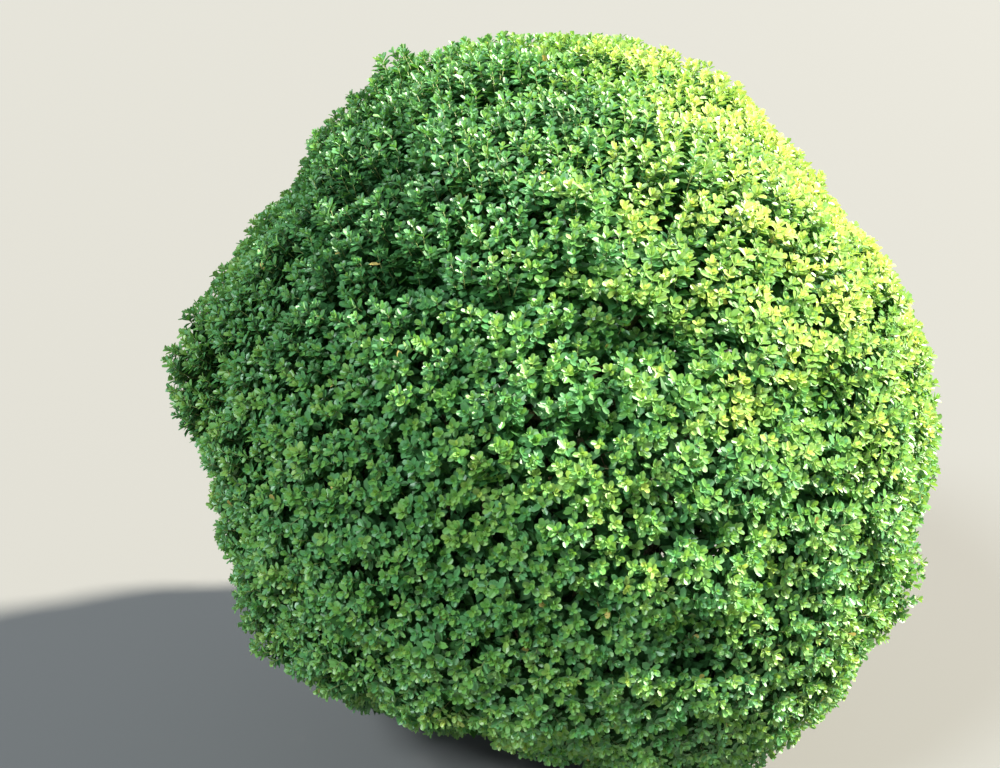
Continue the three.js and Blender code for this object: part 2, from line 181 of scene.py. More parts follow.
def tubes(lines, radii, ring):
    """Points and triangles of closed tubes, each with ring points round every step of its line.

    Lines go by tube, step and xyz. Radii go by tube and step, and by ring point if a tube is
    not round.
    """
    count, steps, _ = lines.shape
    along = unit(np.gradient(lines, axis=1))
    whole = unit(lines[:, -1] - lines[:, 0])
    upright = np.abs(whole[:, 2:]) > NEARLY_UPRIGHT
    side = unit(np.cross(whole, np.where(upright, FRONT, UP)))[:, None, :]
    across = unit(np.cross(along, side))
    side = np.cross(across, along)
    angle = np.arange(ring) * 2 * math.pi / ring
    around = side[:, :, None] * np.cos(angle)[:, None] + across[:, :, None] * np.sin(angle)[:, None]
    if radii.ndim == 2:
        radii = radii[..., None]
    points = lines[:, :, None] + around * radii[..., None]

    index = np.arange(count * steps * ring).reshape(count, steps, ring)
    low, high = index[:, :-1], index[:, 1:]
    next_low, next_high = np.roll(low, -1, axis=2), np.roll(high, -1, axis=2)
    walls = np.stack([low, next_low, next_high, low, next_high, high], axis=-1).reshape(-1, 3)
    fan = np.arange(1, ring - 1)
    first, last = index[:, 0], index[:, -1]
    foot = np.stack([first[:, [0] * len(fan)], first[:, fan + 1], first[:, fan]], axis=-1)
    tip = np.stack([last[:, [0] * len(fan)], last[:, fan], last[:, fan + 1]], axis=-1)
    triangles = np.concatenate([walls, foot.reshape(-1, 3), tip.reshape(-1, 3)])
    return points.reshape(-1, 3), triangles


def joined(parts):
    """Several lots of points and triangles as one."""
    points = np.concatenate([part[0] for part in parts])
    starts = np.cumsum([0] + [len(part[0]) for part in parts[:-1]])
    triangles = np.concatenate([part[1] + start for part, start in zip(parts, starts)])
    return points, triangles


# %% Pieces
made = {}


def make_piece(name, points, triangles, material, slot, *nodes):
    """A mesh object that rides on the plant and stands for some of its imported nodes."""
    mesh = bpy.data.meshes.new(name)
    mesh.vertices.add(len(points))
    mesh.vertices.foreach_set("co", points.astype(np.float32).ravel())
    mesh.loops.add(3 * len(triangles))
    mesh.polygons.add(len(triangles))
    mesh.polygons.foreach_set("loop_start", np.arange(0, 3 * len(triangles), 3, dtype=np.int32))
    mesh.polygons.foreach_set("vertices", triangles.astype(np.int32).ravel())
    mesh.update(calc_edges=True)
    mesh.shade_smooth()
    mesh.materials.append(material)
    piece = bpy.data.objects.new(name, mesh)
    bpy.context.scene.collection.objects.link(piece)
    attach(piece, "root")
    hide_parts(*nodes)
    made[name] = len(triangles)
    print(f"{name}: {len(triangles)} triangles")
    return piece


# %% [markdown]
# Materials come next. Box bark is grey-buff and corky, split into small plates with darker lines
# between them, and the same pattern runs on at a smaller scale on boughs and twigs. That is one
# effect with other numbers, so it is a node group with named inputs, placed in each bark material.
# The group puts out colour, roughness and height, and the Principled BSDF stays outside it.

# %% Helpers for shader nodes


def new_group(name, inputs, outputs):
    """An empty shader node group. Sockets are given as name: (kind, value)."""
    group = bpy.data.node_groups.new(name, "ShaderNodeTree")
    for label, (kind, value) in inputs.items():
        socket = group.interface.new_socket(label, in_out="INPUT", socket_type=f"NodeSocket{kind}")
        socket.default_value = value
    for label, kind in outputs.items():
        group.interface.new_socket(label, in_out="OUTPUT", socket_type=f"NodeSocket{kind}")
    return group, group.nodes.new("NodeGroupInput"), group.nodes.new("NodeGroupOutput")


def feed(tree, node, inputs):
    """Gives a node its inputs. Each one is a plain value, or an output socket to link from."""
    for key, value in inputs.items():
        if isinstance(value, bpy.types.NodeSocket):
            tree.links.new(value, node.inputs[key])
        else:
            node.inputs[key].default_value = value


def add_node(tree, kind, inputs=None, **settings):
    """A new node with its settings and inputs."""
    node = tree.nodes.new(kind)
    for key, value in settings.items():
        setattr(node, key, value)
    feed(tree, node, inputs or {})
    return node


def new_material(name):
    """A material with its Principled BSDF, ready for more nodes."""
    material = bpy.data.materials.new(name)
    material.use_nodes = True
    return material, material.node_tree, material.node_tree.nodes["Principled BSDF"]


# A Mix node has sockets for every kind of value, so the ones in use get names
FACTOR = 0
VALUE_A, VALUE_B = 2, 3
COLOUR_A, COLOUR_B = 6, 7
COLOUR_RESULT = 2

# %% Corky bark
PLATE_SQUEEZE = (1, 1, 0.45)  # a pattern squeezed upwards looks drawn out along the limb
CORK_GRAINS = 260  # per metre
CORK_DETAIL = 6
CRACK_WIDTH = 0.16  # as a part of a plate
ALGAE_PATCHES = 34  # per metre
ALGAE_COLOUR = (0.16, 0.20, 0.08, 1)
PIT_ROUGHNESS = 0.95
GRAIN_ROUGHNESS = 0.72

bark_group, given, put_out = new_group(
    "Corky bark",
    {
        "Ridge Color": ("Color", (0.30, 0.25, 0.17, 1)),
        "Crack Color": ("Color", (0.07, 0.055, 0.035, 1)),
        "Plates per metre": ("Float", 120.0),
        "Algae": ("Float", 0.2),
    },
    {"Color": "Color", "Roughness": "Float", "Height": "Float"},
)
place = add_node(bark_group, "ShaderNodeTexCoord")
stretched = add_node(
    bark_group, "ShaderNodeMapping",
    {"Vector": place.outputs["Object"], "Scale": PLATE_SQUEEZE},
)
plates = add_node(
    bark_group, "ShaderNodeTexVoronoi",
    {"Vector": stretched.outputs[0], "Scale": given.outputs["Plates per metre"]},
    feature="DISTANCE_TO_EDGE",
)
cork = add_node(
    bark_group, "ShaderNodeTexNoise",
    {"Vector": stretched.outputs[0], "Scale": CORK_GRAINS, "Detail": CORK_DETAIL},
)
crack = add_node(
    bark_group, "ShaderNodeMapRange",
    {"Value": plates.outputs["Distance"], "From Max": CRACK_WIDTH},
)
height = add_node(
    bark_group, "ShaderNodeMath",
    {0: crack.outputs[0], 1: cork.outputs["Fac"]}, operation="MULTIPLY",
)
colour = add_node(
    bark_group, "ShaderNodeMix",
    {
        FACTOR: height.outputs[0],
        COLOUR_A: given.outputs["Crack Color"],
        COLOUR_B: given.outputs["Ridge Color"],
    },
    data_type="RGBA",
)
growth = add_node(
    bark_group, "ShaderNodeTexNoise",
    {"Vector": place.outputs["Object"], "Scale": ALGAE_PATCHES},
)
algae = add_node(
    bark_group, "ShaderNodeMath",
    {0: growth.outputs["Fac"], 1: given.outputs["Algae"]}, operation="MULTIPLY",
)
greened = add_node(
    bark_group, "ShaderNodeMix",
    {FACTOR: algae.outputs[0], COLOUR_A: colour.outputs[COLOUR_RESULT], COLOUR_B: ALGAE_COLOUR},
    data_type="RGBA",
)
dullness = add_node(
    bark_group, "ShaderNodeMapRange",
    {"Value": cork.outputs["Fac"], "To Min": PIT_ROUGHNESS, "To Max": GRAIN_ROUGHNESS},
)
feed(bark_group, put_out, {
    "Color": greened.outputs[COLOUR_RESULT],
    "Roughness": dullness.outputs[0],
    "Height": height.outputs[0],
})

# %% Bark of three ages
BARK_RELIEF_STRENGTH = 0.7
BARK_SPECULAR = 0.25


def bark_material(name, ridge, crack_colour, plates_per_metre, algae_share, bump):
    """Bark with the corky effect at one scale. The bump is its depth in metres."""
    material, tree, shader = new_material(name)
    effect = add_node(
        tree, "ShaderNodeGroup",
        {
            "Ridge Color": (*ridge, 1),
            "Crack Color": (*crack_colour, 1),
            "Plates per metre": plates_per_metre,
            "Algae": algae_share,
        },
        node_tree=bark_group,
    )
    relief = add_node(tree, "ShaderNodeBump", {
        "Height": effect.outputs["Height"],
        "Strength": BARK_RELIEF_STRENGTH,
        "Distance": bump,
    })
    feed(tree, shader, {
        "Base Color": effect.outputs["Color"],
        "Roughness": effect.outputs["Roughness"],
        "Normal": relief.outputs["Normal"],
        "Specular IOR Level": BARK_SPECULAR,
    })
    return material


old_bark = bark_material(
    "old bark", ridge=(0.33, 0.28, 0.20), crack_colour=(0.07, 0.055, 0.04),
    plates_per_metre=110, algae_share=0.35, bump=0.0015,
)
bough_bark = bark_material(
    "bough bark", ridge=(0.30, 0.25, 0.17), crack_colour=(0.08, 0.06, 0.04),
    plates_per_metre=170, algae_share=0.2, bump=0.0008,
)
twig_bark = bark_material(
    "twig bark", ridge=(0.24, 0.20, 0.11), crack_colour=(0.08, 0.07, 0.03),
    plates_per_metre=320, algae_share=0.4, bump=0.0003,
)
print("bark materials:", old_bark.name, bough_bark.name, twig_bark.name)

# %% [markdown]
# A box leaf is leathery. Its upper side is dark and waxy, with a soft broad shine that breaks up
# over tiny unevenness, and its underside is paler and dull. Against the sun it glows yellow-green.
# The wax is a small node group. Each leaf material adds its own plain colours: one for each side,
# told apart by Backfacing, and a Translucent BSDF mixed in for the glow. A colour pattern could
# tint the leaves, but it would cut across them. So each leaf has one tint out of ten, and the
# leaves of one tint are one piece.

# %% Leaf wax
LOW_NOISE, HIGH_NOISE = 0.3, 0.7  # most of a noise's values lie between these

wax_group, given, put_out = new_group(
    "Leaf wax",
    {
        "Shine": ("Float", 0.34),
        "Dullness": ("Float", 0.50),
        "Cells per metre": ("Float", 900.0),
    },
    {"Roughness": "Float", "Height": "Float"},
)
place = add_node(wax_group, "ShaderNodeTexCoord")
cells = add_node(
    wax_group, "ShaderNodeTexNoise",
    {"Vector": place.outputs["Object"], "Scale": given.outputs["Cells per metre"]},
)
polish = add_node(wax_group, "ShaderNodeMapRange", {
    "Value": cells.outputs["Fac"],
    "From Min": LOW_NOISE,
    "From Max": HIGH_NOISE,
    "To Min": given.outputs["Shine"],
    "To Max": given.outputs["Dullness"],
})
feed(wax_group, put_out, {"Roughness": polish.outputs[0], "Height": cells.outputs["Fac"]})

# %% Leaf material
YOUNG_SHINE = 0.40  # roughness of the waxy side, where it is smoothest
OLD_SHINE = 0.60
SHINE_RANGE = 0.16  # how much rougher its dullest places are
YOUNG_SPECULAR = 1.0
OLD_SPECULAR = 0.2
WAX_RELIEF = 0.0004
WAX_RELIEF_STRENGTH = 0.25
UNDERSIDE_ROUGHNESS = 0.62
LEAF_GLOW = 0.27  # the share of light that comes through a leaf


def leaf_material(name, upper, under, glow, old):
    """A leaf of one tint, glossy above and dull below. An old leaf has lost most of its wax."""
    shine = OLD_SHINE if old else YOUNG_SHINE
    material, tree, shader = new_material(name)
    side = add_node(tree, "ShaderNodeNewGeometry")
    colour = add_node(
        tree, "ShaderNodeMix",
        {FACTOR: side.outputs["Backfacing"], COLOUR_A: (*upper, 1), COLOUR_B: (*under, 1)},
        data_type="RGBA",
    )
    wax = add_node(
        tree, "ShaderNodeGroup",
        {"Shine": shine, "Dullness": shine + SHINE_RANGE}, node_tree=wax_group,
    )
    roughness = add_node(tree, "ShaderNodeMix", {
        FACTOR: side.outputs["Backfacing"],
        VALUE_A: wax.outputs["Roughness"],
        VALUE_B: UNDERSIDE_ROUGHNESS,
    })
    relief = add_node(tree, "ShaderNodeBump", {
        "Height": wax.outputs["Height"],
        "Strength": WAX_RELIEF_STRENGTH,
        "Distance": WAX_RELIEF,
    })
    feed(tree, shader, {
        "Base Color": colour.outputs[COLOUR_RESULT],
        "Roughness": roughness.outputs[0],
        "Normal": relief.outputs["Normal"],
        "Specular IOR Level": OLD_SPECULAR if old else YOUNG_SPECULAR,
    })
    through = add_node(tree, "ShaderNodeBsdfTranslucent", {"Color": (*glow, 1)})
    both = add_node(
        tree, "ShaderNodeMixShader",
        {FACTOR: LEAF_GLOW, 1: shader.outputs[0], 2: through.outputs[0]},
    )
    feed(tree, tree.nodes["Material Output"], {"Surface": both.outputs[0]})
    return material


# %% Leaf tints
# From the oldest leaves to the youngest, and the faded ones: upper side, underside and glow
# Lighter tints go mostly to the sunny side, darker ones to the shade: painted sun and shade.
LEAF_TINTS = {
    "old": ((0.022, 0.074, 0.016), (0.05, 0.12, 0.04), (0.06, 0.19, 0.02)),
    "shaded": ((0.028, 0.105, 0.032), (0.07, 0.17, 0.07), (0.07, 0.25, 0.03)),
    "deep": ((0.052, 0.190, 0.046), (0.12, 0.26, 0.10), (0.13, 0.38, 0.03)),
    "cool": ((0.082, 0.275, 0.088), (0.17, 0.33, 0.15), (0.17, 0.46, 0.06)),
    "middle": ((0.122, 0.325, 0.068), (0.21, 0.37, 0.14), (0.26, 0.54, 0.05)),
    "mellow": ((0.172, 0.366, 0.075), (0.25, 0.395, 0.15), (0.34, 0.59, 0.065)),
    "light": ((0.235, 0.410, 0.085), (0.29, 0.42, 0.16), (0.42, 0.64, 0.08)),
    "fresh": ((0.430, 0.570, 0.125), (0.44, 0.54, 0.20), (0.64, 0.76, 0.12)),
    "tip": ((0.570, 0.680, 0.220), (0.55, 0.62, 0.28), (0.75, 0.82, 0.18)),
    "faded": ((0.500, 0.400, 0.130), (0.46, 0.40, 0.20), (0.56, 0.42, 0.10)),
}
OLD_TINTS = ("old", "shaded", "faded")
leaf_materials = {
    tint: leaf_material(f"{tint} leaf", *colours, old=tint in OLD_TINTS)
    for tint, colours in LEAF_TINTS.items()
}
print("leaf tints:", ", ".join(leaf_materials))

# %% [markdown]
# The limbs follow the same lines as the solids: an arc with an elbow that sways from side to side.
# Distances are measured along the line, so that collars and sockets fall where the solids have
# them.

# %% Limb lines
LINE_POINTS = 400


def limb_line(start, elbow, end, side, sway):
    """Closely spaced points of a limb's line."""
    t = np.linspace(0, 1, LINE_POINTS)[:, None]
    arc = (1 - t) ** 2 * start + 2 * t * (1 - t) * elbow + t**2 * end
    return arc + side * sway * np.sin(2 * math.pi * t) * np.sin(math.pi * t)


def travelled(line):
    """Distance along a line at each of its points."""
    return np.concatenate([[0], np.cumsum(np.linalg.norm(np.diff(line, axis=0), axis=1))])


def between(line, first, last, count):
    """Points evenly spaced along part of a line, and their distances along it."""
    so_far = travelled(line)
    wanted = np.linspace(first, last, count)
    points = np.stack([np.interp(wanted, so_far, line[:, axis]) for axis in range(3)], axis=1)
    return points, wanted


# %% The trunk's line and the boughs' lines
TRUNK_HEIGHT = 0.196
TRUNK_LEAN = 0.014
TRUNK_RADIUS = 0.036
TRUNK_TOP_RADIUS = 0.017
ROOT_FLARE = 0.030
ROOT_FLARE_HEIGHT = 0.026
ROOT_LOBES = 5
ROOT_LOBE_DEPTH = 0.2

CORE_DEPTH = 0.092
SHELL_THICKNESS = 0.058
FOOT_OPENING_RADIUS = 0.165

# Each bough: azimuth and elevation of its end in degrees, height of its fork, sway
BOUGHS = [
    (20, 36, 0.084, 0.022),
    (94, 47, 0.102, -0.020),
    (163, 33, 0.090, 0.024),
    (236, 44, 0.108, -0.018),
    (308, 40, 0.094, 0.020),
]
BOUGH_RADIUS = 0.020
BOUGH_TIP_RADIUS = 0.009
COLLAR_SWELL = 0.005
COLLAR_LENGTH = 0.080
BOUGH_SOCKET_DEPTH = 0.026
ELBOW = np.array([0.62, 0.62, 0.26])  # out, out and up

trunk_line = limb_line(
    np.zeros(3),
    np.array([0, 0, TRUNK_HEIGHT / 2]),
    np.array([TRUNK_LEAN, -TRUNK_LEAN / 2, TRUNK_HEIGHT]),
    np.array([1.0, 0, 0]),
    0,
)


def inside_shell(direction, sink):
    """A point that lies a little way into the leafy shell from within."""
    return at_depth(direction, CORE_DEPTH + SHELL_THICKNESS - sink, ripples=0)


def bough_line(azimuth, elevation, fork, sway):
    """A bough's line, from the trunk's axis to its end in the shell."""
    outward = facing(azimuth, elevation)
    end = inside_shell(outward, BOUGH_SOCKET_DEPTH)
    trunk_length = travelled(trunk_line)[-1]
    start = between(trunk_line, 0, fork / TRUNK_HEIGHT * trunk_length, 2)[0][-1]
    elbow = start + (end - start) * ELBOW
    side = unit(np.array([-outward[1], outward[0], 0]))
    return limb_line(start, elbow, end, side, sway)


bough_lines = [bough_line(*bough) for bough in BOUGHS]
bough_lengths = [travelled(line)[-1] for line in bough_lines]
print("bough lengths:", [round(float(length), 3) for length in bough_lengths])


def bough_radius(distance, length):
    """A bough's radius at a distance along it."""
    taper = distance / length
    swell = COLLAR_SWELL * np.exp(-distance / COLLAR_LENGTH)
    return BOUGH_RADIUS + (BOUGH_TIP_RADIUS - BOUGH_RADIUS) * taper + swell * (1 - taper)


# %% [markdown]
# The trunk's forks have no seams on a real bush: the collars swell out of the trunk. So the trunk
# and its collars are first made as overlapping tubes, then fused by a voxel remesh, and only then
# does the bark get its relief. Bump alone would leave a smooth outline, so the plates and cracks
# are pushed into the mesh itself. Corky bark is a cell pattern drawn out along the limb.

# %% Bark relief
CRACK_STEEPNESS = 2.2
PLATE_SHARE = 0.75  # the rest of the relief is the cork's grain
GRAINS_PER_PLATE = 2.7
BARK_LEVEL = 0.8  # bark of this height leaves the limb as thick as it was


def bark_height(points, plate, stretch):
    """Height of the bark, about 0 in a crack and 1 on a plate, for points along an upright limb."""
    heights = np.empty(len(points))
    scale = Vector((1 / plate, 1 / plate, 1 / (plate * stretch)))
    for index, point in enumerate(points):
        place = Vector(point) * scale
        near, next_near = noise.voronoi(place)[0][:2]
        edge = min((next_near - near) * CRACK_STEEPNESS, 1)
        grain = noise.noise(place * GRAINS_PER_PLATE)
        heights[index] = PLATE_SHARE * edge + (1 - PLATE_SHARE) * grain
    return heights


# %% Trunk
TRUNK_STEPS = 60
TRUNK_RING = 60
COLLAR_STEPS = 12
COLLAR_RING = 28
TRUNK_VOXEL = 0.0022
TRUNK_RELIEF = 0.0020
TRUNK_PLATE = 0.010
TRUNK_PLATE_STRETCH = 2.4

trunk_length = travelled(trunk_line)[-1]
trunk_points, trunk_distance = between(trunk_line, 0, trunk_length, TRUNK_STEPS)
rise = trunk_distance / trunk_length
body = TRUNK_RADIUS + (TRUNK_TOP_RADIUS - TRUNK_RADIUS) * rise**3
flare = ROOT_FLARE * np.exp(-trunk_distance / ROOT_FLARE_HEIGHT)
trunk_angle = np.arange(TRUNK_RING) * 2 * math.pi / TRUNK_RING
lobes = 1 + 2 * ROOT_LOBE_DEPTH * np.sin(ROOT_LOBES * trunk_angle)
trunk_radii = body[:, None] + flare[:, None] * lobes
trunk_parts = [tubes(trunk_points[None], trunk_radii[None], TRUNK_RING)]
for line, length in zip(bough_lines, bough_lengths):
    collar, distance = between(line, 0, COLLAR_LENGTH, COLLAR_STEPS)
    trunk_parts.append(tubes(collar[None], bough_radius(distance, length)[None], COLLAR_RING))

trunk = make_piece("trunk_with_bark", *joined(trunk_parts), old_bark, "bark", "trunk")

# %% Trunk and collars fused
fuse = trunk.modifiers.new("fuse", "REMESH")
fuse.mode = "VOXEL"
fuse.voxel_size = TRUNK_VOXEL
ease = trunk.modifiers.new("ease", "SMOOTH")
ease.factor = 0.5
ease.iterations = 4
bpy.context.view_layer.update()
fused = bpy.data.meshes.new_from_object(trunk.evaluated_get(bpy.context.evaluated_depsgraph_get()))
trunk.modifiers.clear()
trunk.data = fused
fused.materials.clear()
fused.materials.append(old_bark)
made[trunk.name] = sum(len(face.vertices) - 2 for face in fused.polygons)
print("trunk when fused:", made[trunk.name], "triangles")

# %% Bark on the trunk
places = np.empty(3 * len(fused.vertices))
fused.vertices.foreach_get("co", places)
places = places.reshape(-1, 3)
normals = np.empty(3 * len(fused.vertices))
fused.vertex_normals.foreach_get("vector", normals)
normals = normals.reshape(-1, 3)
bark = bark_height(places, TRUNK_PLATE, TRUNK_PLATE_STRETCH)
pushed = places + normals * (TRUNK_RELIEF * (bark - BARK_LEVEL))[:, None]
on_ground = places[:, 2] < 2 * TRUNK_VOXEL
pushed[on_ground, 2] = places[on_ground, 2]
pushed[:, 2] = np.maximum(pushed[:, 2], 0)
fused.vertices.foreach_set("co", pushed.ravel())
fused.update()
fused.shade_smooth()
print("points moved by the bark:", len(fused.vertices))

# %% [markdown]
# A bough has no forks of its own, so it can stay a single tube. Its rings are close enough
# together to carry the bark, and the relief moves each point of a ring in or out. The bough
# starts a millimetre inside its collar and so looks like one piece with the trunk.

# %% Boughs
BOUGH_RING = 24
BOUGH_STEPS = 130
BOUGH_RELIEF = 0.0011
BOUGH_PLATE = 0.0065
BOUGH_PLATE_STRETCH = 2.6
COLLAR_OVERLAP = 0.001

for number, (line, length) in enumerate(zip(bough_lines, bough_lengths), 1):
    points, distance = between(line, COLLAR_LENGTH - COLLAR_OVERLAP, length, BOUGH_STEPS)
    radii = np.repeat(bough_radius(distance, length)[:, None], BOUGH_RING, axis=1)
    angle = np.arange(BOUGH_RING) * 2 * math.pi / BOUGH_RING
    unrolled = np.stack([
        np.cos(angle) * radii,
        np.sin(angle) * radii,
        np.repeat(distance[:, None], BOUGH_RING, axis=1),
    ], axis=-1).reshape(-1, 3)
    bark = bark_height(unrolled + number, BOUGH_PLATE, BOUGH_PLATE_STRETCH)
    radii = radii + BOUGH_RELIEF * (bark.reshape(radii.shape) - BARK_LEVEL)
    piece = tubes(points[None], radii[None], BOUGH_RING)
    make_piece(f"bough_{number}_with_bark", *piece, bough_bark, "bark", f"bough_{number}")

# %% [markdown]
# Inside the crown a stem carries branches to the shell, by the rule that the solids follow. Its
# dice are rolled here in the same order, so the branches come out in the same places. From there
# the wood goes on to finer twigs than the solids have, in two more orders: each one starts part
# of the way along the nearest limb of the order before, and ends nearer the clipped face.

# %% The solids' own dice
SOLIDS_SEED = 1803
WORD = 0xFFFFFFFF  # the largest number of 32 bits
SEED_STEP = 0x6D2B79F5


def seeded_numbers(seed):
    """A repeatable stream of numbers from 0 to 1."""
    state = seed & WORD
    while True:
        state = (state + SEED_STEP) & WORD
        mixed = ((state ^ (state >> 15)) * (state | 1)) & WORD
        mixed ^= (mixed + ((mixed ^ (mixed >> 7)) * (mixed | 61))) & WORD
        yield (mixed ^ (mixed >> 14)) / (WORD + 1)


solids_dice = seeded_numbers(SOLIDS_SEED)


def either():
    """The next roll, from -1 to 1."""
    return next(solids_dice) * 2 - 1


# %% Stem
STEM_TOP_HEIGHT = 0.690
STEM_TIP_RADIUS = 0.009
STEM_SWAY = 0.016
STEM_STEPS = 60
STEM_RING = 16

stem_start = trunk_line[-1]
stem_way = unit(trunk_line[-1] - trunk_line[-2])
stem_line = limb_line(
    stem_start,
    stem_start + stem_way * (STEM_TOP_HEIGHT - TRUNK_HEIGHT) / 2,
    np.array([0, 0, STEM_TOP_HEIGHT]),
    np.array([1.0, 0, 0]),
    STEM_SWAY,
)
stem_length = travelled(stem_line)[-1]
stem_points, stem_distance = between(stem_line, 0, stem_length, STEM_STEPS)
stem_radii = TRUNK_TOP_RADIUS + (STEM_TIP_RADIUS - TRUNK_TOP_RADIUS) * stem_distance / stem_length
inner_wood = [tubes(stem_points[None], stem_radii[None], STEM_RING)]
print("stem length:", round(float(stem_length), 3))

# %% Branches
BRANCH_COUNT = 14  # tried, and one that would touch a bough or end in the open foot is left out
BRANCH_RADIUS = 0.0075
BRANCH_TIP_RADIUS = 0.005
BRANCH_LOWEST = 0.3
BRANCH_HIGHEST = 0.98
BRANCH_SINK = 0.024
BRANCH_SAG = 0.026
BRANCH_SWAY = 0.013
BRANCH_STEPS = 24
BRANCH_RING = 10
FOOT_OPENING_TOP = 0.300
LIMB_CLEARANCE = 0.006
BOUGH_CHECKS = 49  # places on a bough from which the distance is taken
LINE_STRIDE = 33  # between those on a branch's line


def clear_of_boughs(line, radius):
    """Whether a line keeps its distance from every bough."""
    for bough, length in zip(bough_lines, bough_lengths):
        points, distance = between(bough, 0, length, BOUGH_CHECKS)
        room = bough_radius(distance, length) + radius + LIMB_CLEARANCE
        gaps = np.linalg.norm(line[:, None] - points[None], axis=2)
        if np.any(gaps <= room):
            return False
    return True


branch_lines = []
for index in range(BRANCH_COUNT):
    outward = even_directions(BRANCH_COUNT)[BRANCH_COUNT - 1 - index]
    leaving = BRANCH_LOWEST + (BRANCH_HIGHEST - BRANCH_LOWEST) * index / (BRANCH_COUNT - 1)
    start = between(stem_line, 0, leaving * stem_length, 2)[0][-1]
    end = inside_shell(outward, BRANCH_SINK)
    if math.hypot(end[0], end[1]) < FOOT_OPENING_RADIUS and end[2] < FOOT_OPENING_TOP:
        continue
    elbow = (start + end) / 2 + UP * BRANCH_SAG * either()
    side = unit(np.array([-outward[1], outward[0], 0]))
    line = limb_line(start, elbow, end, side, BRANCH_SWAY * either())
    if clear_of_boughs(line[::LINE_STRIDE], BRANCH_RADIUS):
        branch_lines.append(line)

for line in branch_lines:
    points, _ = between(line, 0, travelled(line)[-1], BRANCH_STEPS)
    radii = np.linspace(BRANCH_RADIUS, BRANCH_TIP_RADIUS, BRANCH_STEPS)
    inner_wood.append(tubes(points[None], radii[None], BRANCH_RING))
print("branches inside the crown:", len(branch_lines))

# %% Helpers for finer wood
SEED = 1803
FINE_STEPS = 7
FINE_WANDER = 0.006

dice = np.random.default_rng(SEED)


def scattered(count, unevenness):
    """Directions that lie nearly evenly all round, with the bare foot left out."""
    directions = even_directions(count) + dice.normal(0, unevenness, (count, 3))
    directions = unit(directions)
    feet = at_depth(directions, CORE_DEPTH)
    under = (np.hypot(feet[:, 0], feet[:, 1]) < FOOT_OPENING_RADIUS) & (directions[:, 2] < 0)
    return directions[~under]


def grown(parents, ends, first_share, bend):
    """Lines from some way along the nearest parent line to each end, bowed inwards by bend."""
    parent_ways = unit(parents[:, -1] - CENTRE)
    nearest = np.argmax(unit(ends - CENTRE) @ parent_ways.T, axis=1)
    shares = dice.uniform(first_share, 1, len(ends))
    step = (shares * (parents.shape[1] - 1)).astype(int)
    starts = parents[nearest, step]
    middle = (starts + ends) / 2 + (CENTRE - ends) * bend
    middle += dice.normal(0, FINE_WANDER, middle.shape)
    t = np.linspace(0, 1, FINE_STEPS)[None, :, None]
    lines = (1 - t) ** 2 * starts[:, None] + 2 * t * (1 - t) * middle[:, None]
    return lines + t**2 * ends[:, None]


def alike(lines, radii, ring):
    """Tubes that all have the same radii along their lines."""
    return tubes(lines, np.tile(radii, (len(lines), 1)), ring)


# %% Branchlets and twigs
LIMB_STEPS = 41  # places on a limb at which a branchlet may start
BRANCHLET_COUNT = 170
BRANCHLET_UNEVENNESS = 0.03
BRANCHLET_DEPTH = 0.100
BRANCHLET_RADII = np.linspace(0.0042, 0.0026, FINE_STEPS)
BRANCHLET_RING = 6
TWIG_COUNT = 1250
TWIG_UNEVENNESS = 0.012
TWIG_DEPTH = 0.066
TWIG_RADII = np.linspace(0.0021, 0.0013, FINE_STEPS)
TWIG_RING = 3

limbs = np.array([
    between(line, 0, travelled(line)[-1], LIMB_STEPS)[0] for line in bough_lines + branch_lines
])
branchlet_ends = at_depth(scattered(BRANCHLET_COUNT, BRANCHLET_UNEVENNESS), BRANCHLET_DEPTH)
branchlets = grown(limbs, branchlet_ends, first_share=0.8, bend=0.05)
twig_ways = scattered(TWIG_COUNT, TWIG_UNEVENNESS)
twigs = grown(branchlets, at_depth(twig_ways, TWIG_DEPTH), first_share=0.4, bend=0.02)
inner_wood.append(alike(branchlets, BRANCHLET_RADII, BRANCHLET_RING))
inner_wood.append(alike(twigs, TWIG_RADII, TWIG_RING))
make_piece("inner_wood", *joined(inner_wood), twig_bark, "bark", "crown")
print("branchlets:", len(branchlets), "twigs:", len(twigs))

# %% [markdown]
# Now the shoots. Each twig carries a spray of about nine, and a spray is what the eye sees first:
# its shoots stand together, fan out a little and share an age, and dark gaps run between sprays.
# So the shoots are scattered evenly, drawn towards the middle of their spray, and set back a
# little at its edge.

# %% Sprays of shoots
SHOOT_COUNT = 11550
SHOOT_UNEVENNESS = 0.008
SPRAY_PULL = 0.10  # how far shoots gather towards the middle of their spray
SPRAY_REACH = 0.036  # radius of a spray
WIDEST_SPREAD = 1.4  # of a shoot from its spray's middle, in radii

shoot_ways = scattered(SHOOT_COUNT, SHOOT_UNEVENNESS)
spray = np.argmax(shoot_ways @ twig_ways.T, axis=1)
gap = twig_ways[spray] - shoot_ways
from_middle = np.linalg.norm(gap, axis=1) * BALL_RADIUS
shoot_ways = unit(shoot_ways + SPRAY_PULL * gap)
spread = np.clip(from_middle / SPRAY_REACH, 0, WIDEST_SPREAD)
print("shoots:", len(shoot_ways), "in sprays:", len(twig_ways))

# %% [markdown]
# The clipped face isn't closed. Shallow dips wider than high run over it in tiers, and here and
# there the shoots end deeper still, round a dark hollow. Dice would sink each shoot on its own, so
# both come from soft wave patterns, which sink whole patches. On the front a few large hollows
# give this ball its look, so those are named and placed by angle, and the pattern's own are
# mostly kept to the sides and the back.

